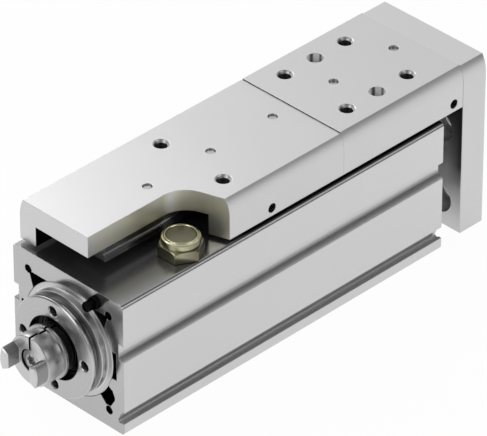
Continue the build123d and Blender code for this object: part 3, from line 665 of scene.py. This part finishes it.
class SlideColours(bpy.types.PropertyGroup):
    slide_metal: FloatVectorProperty(
        name="Slide", description="Slide and yoke plates", subtype="COLOR", default=(0.70, 0.70, 0.705)
    )
    housing_metal: FloatVectorProperty(
        name="Housing", description="Extruded housing", subtype="COLOR", default=(0.71, 0.71, 0.715)
    )
    flange_metal: FloatVectorProperty(
        name="Flange", description="Turned drive flange", subtype="COLOR", default=(0.62, 0.62, 0.625)
    )
    coupling_metal: FloatVectorProperty(
        name="Coupling", description="Coupling half", subtype="COLOR", default=(0.60, 0.595, 0.59)
    )
    vent_metal: FloatVectorProperty(
        name="Vent", description="Vent filter's brass", subtype="COLOR", default=(0.53, 0.505, 0.345)
    )


# Pieces


class SLIDE_OT_nodes(bpy.types.Operator):
    """Gives every CAD node its finish"""

    bl_idname = "slide.nodes"
    bl_label = "Finish the CAD nodes"

    def execute(self, context):
        colours = context.scene.slide_colours
        slide_metal = anodised_metal("slide_anodised", tuple(colours.slide_metal), 0.34, slide_zones)
        housing_metal = anodised_metal("housing_anodised", tuple(colours.housing_metal), 0.30, housing_zones)
        flange_metal = turned_metal("flange_turned", tuple(colours.flange_metal), 0.30, zones=flange_zones)
        coupling_metal = turned_metal(
            "coupling_turned", tuple(colours.coupling_metal), 0.34, pitch=0.0003, zones=coupling_zones
        )
        inner_metal = turned_metal("inner_turned", (0.5, 0.5, 0.51), 0.35)
        tube_metal = turned_metal("tube_chromed", (0.62, 0.62, 0.63), 0.14, depth=0.05)
        ground_steel = plain_steel("ground_guide", (0.30, 0.30, 0.31), 0.24)
        screw_steel = plain_steel("dark_screw", (0.07, 0.07, 0.075), 0.36, sheen=0.3)
        bright_screw = plain_steel("zinc_screw", (0.48, 0.48, 0.48), 0.32)
        black_steel = plain_steel("black_oxide", (0.010, 0.010, 0.011), 0.38, sheen=0.15)
        rubber = moulded("buffer_rubber", (0.02, 0.02, 0.02), 0.7)
        plastic = moulded("cap_plastic", (0.035, 0.035, 0.038), 0.45)
        coat(["slide_plate", "yoke_plate"], slide_metal)
        coat(["housing_profile"], housing_metal)
        coat(["drive_flange"], flange_metal)
        coat(["coupling_hub"], coupling_metal)
        coat(["bearing_retainer", "front_cap", "nut_carrier"], inner_metal)
        coat(["thrust_tube"], tube_metal)
        coat(["guide_rail", "front_carriage", "rear_carriage", "yoke_dowels", "ball_screw"], ground_steel)
        coat(["bearing_outer_rings", "bearing_inner_rings", "bearing_balls", "spindle_nut"], ground_steel)
        coat(["channel_screws", "carriage_screws", "yoke_screws", "rod_screw", "lock_nut"], screw_steel)
        coat(["tube_plug", "cap_clip", "magnet_ring"], screw_steel)
        coat(["rail_screws", "coupling_screw"], bright_screw)
        coat(["locating_pin"], black_steel)
        coat(["rear_buffer", "front_buffer", "rod_scraper"], rubber)
        coat(["guide_bush", "carriage_end_caps"], plastic)
        coat(["vent_body", "vent_disc"], screw_steel)
        return {"FINISHED"}


class SLIDE_OT_vent(bpy.types.Operator):
    """Vent filter: chamfered hexagon, crimped collar and sintered disc"""

    bl_idname = "slide.vent"
    bl_label = "Vent filter"

    def execute(self, context):
        sizes = context.scene.slide_sizes
        colour = tuple(context.scene.slide_colours.vent_metal)
        centre = (sizes.vent_x, sizes.vent_y, 0.0)
        brass = self.brass_finish("brass_painted_shade", colour, centre)

        deselect()
        bpy.ops.mesh.primitive_cylinder_add(
            vertices=6,
            radius=sizes.vent_flats / math.sqrt(3.0),
            depth=VENT_HEIGHT,
            location=(centre[0], centre[1], HOUSING_TOP + VENT_HEIGHT / 2),
        )
        bpy.ops.object.transform_apply(location=True, rotation=True, scale=True)
        hexagon = bpy.context.object
        flat = sizes.vent_flats / 2
        crown, shoulder = HOUSING_TOP + 0.0039, HOUSING_TOP + 0.0019
        cone = [(crown, 0.0200), (crown, flat), (shoulder, flat + 0.0020), (shoulder, 0.0200)]
        cut(hexagon, lathe("cone", cone + cone[:1], centre, 2, sizes.round_segments))
        soften(hexagon, 0.00008, 2)

        rim = sizes.vent_rim
        profile = [
            (0.0408, 0.0036),
            (0.0411, 0.0039),
            (0.0446, 0.0039),
            (0.0480, 0.0050),
            (0.0482, 0.00535),
            (0.0484, 0.00545),
            (0.0486, 0.00570),
            (0.0498, 0.00575),
            (0.0501, 0.00570),
            (0.0503, 0.00545),
            (0.0503, rim + 0.00012),
            (0.0504, rim),
            (0.0506, rim),
            (0.05075, rim - 0.00012),
            (0.05080, rim - 0.00030),
            (0.05070, rim - 0.00048),
            (0.05050, rim - 0.00060),
            (0.0500, 0.00434),
            (0.0490, 0.00434),
        ]
        collar = lathe("vent_collar", profile, centre, 2, sizes.round_segments)
        soften(collar, 0.00004, 1, 50.0)
        body = join("vent_filter_body", [hexagon, collar])
        finish_piece(body, brass, "housing", ("vent_body",))

        disc_profile = [
            (0.0488, 0.00430),
            (0.0502, 0.00430),
            (0.05035, 0.0042),
            (0.05042, 0.0030),
            (0.05045, 0.0015),
        ]
        disc = lathe("vent_sinter_disc", disc_profile, centre, 2, sizes.round_segments)
        soften(disc, 0.00003, 1, 50.0)
        finish_piece(disc, sintered("vent_sinter", shade(colour, 0.62)), "housing", ("vent_disc",))
        return {"FINISHED"}

    def brass_finish(self, name, colour, centre):
        """Passivated brass: darker on the hexagon, lighter round the rim, with painted shade down one side
        and a painted contact shadow at its base.
        """
        finish = Finish(name)
        rings = finish.rings(centre, 2, 0.0003)
        x, y, z = finish.spot()
        rim = above(z, 0.0502, 0.0003)
        collar = above(z, 0.0481, 0.0002)
        # Painted shade down one side of the hexagon and collar, and a painted contact shadow where the
        # hexagon meets the housing.
        aside = (x - centre[0]) - (y - centre[1])
        painted_side_shade = above(aside, 0.0030, 0.0060) * (1.0 - rim) * 0.7
        contact_shadow = below(z, HOUSING_TOP + 0.00025, 0.0002)
        dull = finish.blend(rings, shade(colour, 0.62), shade(colour, 0.78))
        base = finish.over(finish.over(dull, collar, shade(colour, 1.1)), rim, shade(colour, 1.5))
        base = finish.over(finish.over(base, painted_side_shade, shade(colour, 0.22)), contact_shadow, shade(colour, 0.05))
        normal = finish.bump(rings, 0.15, 0.00003, finish.edges(0.00015))
        return finish.surface(Base_Color=base, Metallic=1.0, Roughness=0.30 - rim * 0.06, Normal=normal)


class SLIDE_OT_threads(bpy.types.Operator):
    """Screw threads inside the slide's top and side holes"""

    bl_idname = "slide.threads"
    bl_label = "Slide threads"

    def execute(self, context):
        sizes = context.scene.slide_sizes
        threads = self.thread_finish("thread_shade")
        # Painted shade: the side holes' threads are near-black steel.
        dark = plain_steel("dark_bore", (0.02, 0.02, 0.02), 0.5)
        radius = sizes.top_thread
        rings = []
        crest, wall = radius - 0.00030, radius + 0.00002
        for x in TOP_HOLES:
            top = SLIDE_TOP - PAD_STEP if x < PAD_START else SLIDE_TOP
            for y in (-HOLE_ROW, HOLE_ROW):
                rings.append(ridges("thread", (x, y, 0.0), 2, crest, wall, top - 0.0004, THREAD_FOOT, 0.0008))
        finish_piece(join("slide_top_threads", rings), threads, "slide")
        side = sizes.side_thread
        rings = []
        crest, wall = side - 0.00022, side + 0.00002
        for x in SIDE_HOLES:
            for sign in (-1.0, 1.0):
                face = sign * SLIDE_SIDE
                start, end = face - sign * 0.0002, face - sign * 0.0040
                rings.append(ridges("thread", (x, 0.0, SIDE_HOLE_Z), 1, crest, wall, start, end, 0.0006, 32))
        finish_piece(join("slide_side_threads", rings), dark, "slide")
        return {"FINISHED"}

    def aside(self, x, y):
        """Place across the nearest hole, on the diagonal from the far left to the near right."""
        across, side = from_hole_row(y)
        along = 0.0
        for centre in TOP_HOLES:
            along = (x - centre) * within(x - centre, 0.004, 0.0001) + along
        return along - across * side

    def thread_finish(self, name):
        """Painted light near the mouth, brightest along one diagonal, and painted shade falling to black down
        the hole.
        """
        finish = Finish(name)
        x, y, z = finish.spot()
        depth = SLIDE_TOP - below(x, PAD_START, 0.001) * PAD_STEP - z
        # Painted light and shade: lit near the mouth, near black deeper down.
        lit = below(depth, 0.0010, 0.0004)
        painted_shine = self.aside(x, y) * 180.0 + 0.55
        base = finish.blend(lit * painted_shine.held(), grey(0.012), grey(0.85))
        return finish.surface(Base_Color=base, Metallic=0.6, Roughness=0.45 - lit * 0.1)


class SLIDE_OT_flange(bpy.types.Operator):
    """Drive flange with rounded lips and drilled spanner holes"""

    bl_idname = "slide.flange"
    bl_label = "Drive flange"

    def execute(self, context):
        sizes = context.scene.slide_sizes
        nose = FLANGE_NOSE
        profile = [
            (nose, FLANGE_BORE),
            (nose, FLANGE_LIP - 0.0004),
            (nose + 0.0004, FLANGE_LIP),
            (nose + 0.0012, FLANGE_LIP),
            (nose + 0.0019, GROOVE_FLOOR),
            (nose + 0.0032, GROOVE_FLOOR),
            (nose + 0.0039, FLANGE_LIP),
            (MOTOR_FACE, FLANGE_LIP),
            (MOTOR_FACE, 0.0174),
            (MOTOR_FACE + 0.0001, 0.01745),
            (MOTOR_FACE, 0.0175),
            (MOTOR_FACE, 0.0176),
            (MOTOR_FACE + 0.0002, 0.0178),
            (MOTOR_FACE + 0.0170, 0.0178),
            (MOTOR_FACE + 0.0170, 0.01252),
            (MOTOR_FACE + 0.0130, 0.01252),
            (MOTOR_FACE + 0.0130, 0.01102),
            (MOTOR_FACE - 0.0010, 0.01102),
            (MOTOR_FACE - 0.0010, FLANGE_BORE),
            (nose, FLANGE_BORE),
        ]
        flange = lathe("drive_flange_turned", profile, (0.0, 0.0, AXIS_Z), 0, sizes.round_segments)
        for turn in range(4):
            angle = turn * math.pi / 2
            y = SPANNER_CIRCLE * math.cos(angle)
            z = AXIS_Z + SPANNER_CIRCLE * math.sin(angle)
            drill = lathe(
                "drill",
                [(nose - 0.001, 0.00205), (nose, 0.0018), (nose + 0.0003, 0.00155), (nose + 0.0038, 0.00155)],
                (0.0, y, z),
                0,
                40,
            )
            cut(flange, drill)
        soften(flange, 0.00012, 2)
        turned = bpy.data.materials["flange_turned"]
        finish_piece(flange, turned, "housing", ("drive_flange",))
        return {"FINISHED"}


class SLIDE_OT_coupling(bpy.types.Operator):
    """Coupling half and its star-recess screw with rounded edges"""

    bl_idname = "slide.coupling"
    bl_label = "Coupling half"

    def execute(self, context):
        hub = copied_node("coupling_hub", "coupling_half")
        soften(hub, 0.00012, 2, 35.0)
        turned = bpy.data.materials["coupling_turned"]
        finish_piece(hub, turned, "spindle", ("coupling_hub",))
        screw = copied_node("coupling_screw", "coupling_star_screw")
        soften(screw, 0.00018, 2, 35.0)
        finish_piece(screw, bpy.data.materials["zinc_screw"], "spindle", ("coupling_screw",))
        return {"FINISHED"}


class SLIDE_OT_small_parts(bpy.types.Operator):
    """Locating pin and channel screws"""

    bl_idname = "slide.small_parts"
    bl_label = "Pins and screws"

    def execute(self, context):
        face = MOTOR_FACE
        profile = [
            (face - 0.0045, 0.00095),
            (face - 0.0044, 0.00125),
            (face - 0.0041, 0.00150),
            (face - 0.0038, 0.00155),
            (face - 0.0017, 0.00155),
            (face - 0.0016, 0.00140),
            (face - 0.0015, 0.00140),
            (face - 0.0015, 0.00185),
            (face - 0.0013, 0.00195),
            (face, 0.00195),
            (face, 0.00155),
            (face + 0.0069, 0.00155),
        ]
        pin = lathe("locating_pin_round", profile, PIN_CENTRE, 0, 64)
        soften(pin, 0.00005, 1, 50.0)
        finish_piece(pin, bpy.data.materials["black_oxide"], "housing", ("locating_pin",))
        screws = []
        for y, z in CHANNEL_SCREWS:
            start = face + 0.0008
            thread = [(start, 0.0006), (start + 0.0003, 0.00095)]
            for index in range(9):
                base = start + 0.0004 + index * 0.0006
                thread += [(base, 0.00105), (base + 0.0003, 0.00135)]
            thread += [(start + 0.0060, 0.0011)]
            screws.append(lathe("thread", thread, (0.0, y, z), 0, 40))
        threads = join("channel_screw_threads", screws)
        finish_piece(threads, bpy.data.materials["dark_screw"], "housing", ("channel_screws",))
        return {"FINISHED"}


class SLIDE_OT_studio(bpy.types.Operator):
    """Floor, soft studio light and the camera"""

    bl_idname = "slide.studio"
    bl_label = "Studio"

    def execute(self, context):
        deselect()
        bpy.ops.mesh.primitive_plane_add(size=6.0, location=(0.0, 0.0, -0.0001))
        floor = bpy.context.object
        floor.name = "studio_floor"
        floor.data.materials.append(floor_finish("studio_white"))
        self.sky(context.scene)
        self.lamp("key_softbox", (0.10, 0.62, 0.52), 0.55, 2.4)
        self.lamp("motor_softbox", (-0.75, 0.05, 0.55), 0.50, 1.5)
        self.lamp("side_softbox", (0.15, -0.85, 0.60), 0.60, 1.5)
        self.camera(context.scene)
        return {"FINISHED"}

    def sky(self, scene):
        world = bpy.data.worlds.new("studio_sky")
        scene.world = world
        world.use_nodes = True
        tree = world.node_tree
        lit = tree.nodes["Background"]
        lit.inputs["Color"].default_value = (1.0, 1.0, 1.0, 1.0)
        where = tree.nodes.new("ShaderNodeTexCoord")
        facing = tree.nodes.new("ShaderNodeVectorMath")
        facing.operation = "DOT_PRODUCT"
        facing.inputs[1].default_value = (0.577, 0.577, 0.577)
        tree.links.new(where.outputs["Generated"], facing.inputs[0])
        glow = tree.nodes.new("ShaderNodeMapRange")
        glow.interpolation_type = "SMOOTHSTEP"
        for key, value in (("From Min", 0.35), ("From Max", 1.0), ("To Min", 0.16), ("To Max", 0.84)):
            glow.inputs[key].default_value = value
        tree.links.new(facing.outputs["Value"], glow.inputs["Value"])
        tree.links.new(glow.outputs["Result"], lit.inputs["Strength"])
        seen = tree.nodes.new("ShaderNodeBackground")
        seen.inputs["Color"].default_value = (1.0, 1.0, 1.0, 1.0)
        seen.inputs["Strength"].default_value = 1.0
        path = tree.nodes.new("ShaderNodeLightPath")
        mixer = tree.nodes.new("ShaderNodeMixShader")
        tree.links.new(path.outputs["Is Camera Ray"], mixer.inputs[0])
        tree.links.new(lit.outputs[0], mixer.inputs[1])
        tree.links.new(seen.outputs[0], mixer.inputs[2])
        tree.links.new(mixer.outputs[0], tree.nodes["World Output"].inputs[0])

    def lamp(self, name, place, size, power):
        bpy.ops.object.light_add(type="AREA", location=place)
        lamp = bpy.context.object
        lamp.name = name
        lamp.data.shape = "SQUARE"
        lamp.data.size = size
        lamp.data.energy = power
        aim = Vector(place) - Vector((0.0, 0.0, 0.03))
        lamp.rotation_euler = aim.to_track_quat("Z", "Y").to_euler()

    def camera(self, scene):
        azimuth = math.radians(CAMERA_AZIMUTH)
        height = math.radians(CAMERA_HEIGHT)
        back = Vector(
            (math.sin(azimuth) * math.cos(height), -math.cos(azimuth) * math.cos(height), math.sin(height))
        )
        bpy.ops.object.camera_add(location=Vector(CAMERA_AIM) + back * CAMERA_DISTANCE)
        camera = bpy.context.object
        camera.name = "photo_camera"
        camera.rotation_euler = back.to_track_quat("Z", "Y").to_euler()
        camera.data.sensor_width = CAMERA_SENSOR
        camera.data.lens = CAMERA_LENS
        camera.data.clip_end = 20.0
        scene.camera = camera


class SLIDE_PT_panel(bpy.types.Panel):
    bl_label = "Linear slide"
    bl_space_type = "VIEW_3D"
    bl_region_type = "UI"
    bl_category = "Slide"

    def draw(self, context):
        for operator in OPERATORS:
            self.layout.operator(operator.bl_idname)
        for group in (context.scene.slide_sizes, context.scene.slide_colours):
            for key in group.__annotations__:
                self.layout.prop(group, key)


OPERATORS = (
    SLIDE_OT_nodes,
    SLIDE_OT_vent,
    SLIDE_OT_threads,
    SLIDE_OT_flange,
    SLIDE_OT_coupling,
    SLIDE_OT_small_parts,
    SLIDE_OT_studio,
)
CLASSES = (SlideSizes, SlideColours, *OPERATORS, SLIDE_PT_panel)


def register():
    for item in CLASSES:
        bpy.utils.register_class(item)
    bpy.types.Scene.slide_sizes = PointerProperty(type=SlideSizes)
    bpy.types.Scene.slide_colours = PointerProperty(type=SlideColours)


def unregister():
    del bpy.types.Scene.slide_sizes
    del bpy.types.Scene.slide_colours
    for item in reversed(CLASSES):
        bpy.utils.unregister_class(item)


def main():
    register()
    for operator in OPERATORS:
        group, name = operator.bl_idname.split(".")
        getattr(getattr(bpy.ops, group), name)()
    bpy.context.scene.view_settings.view_transform = "Standard"


if __name__ == "__main__":
    main()
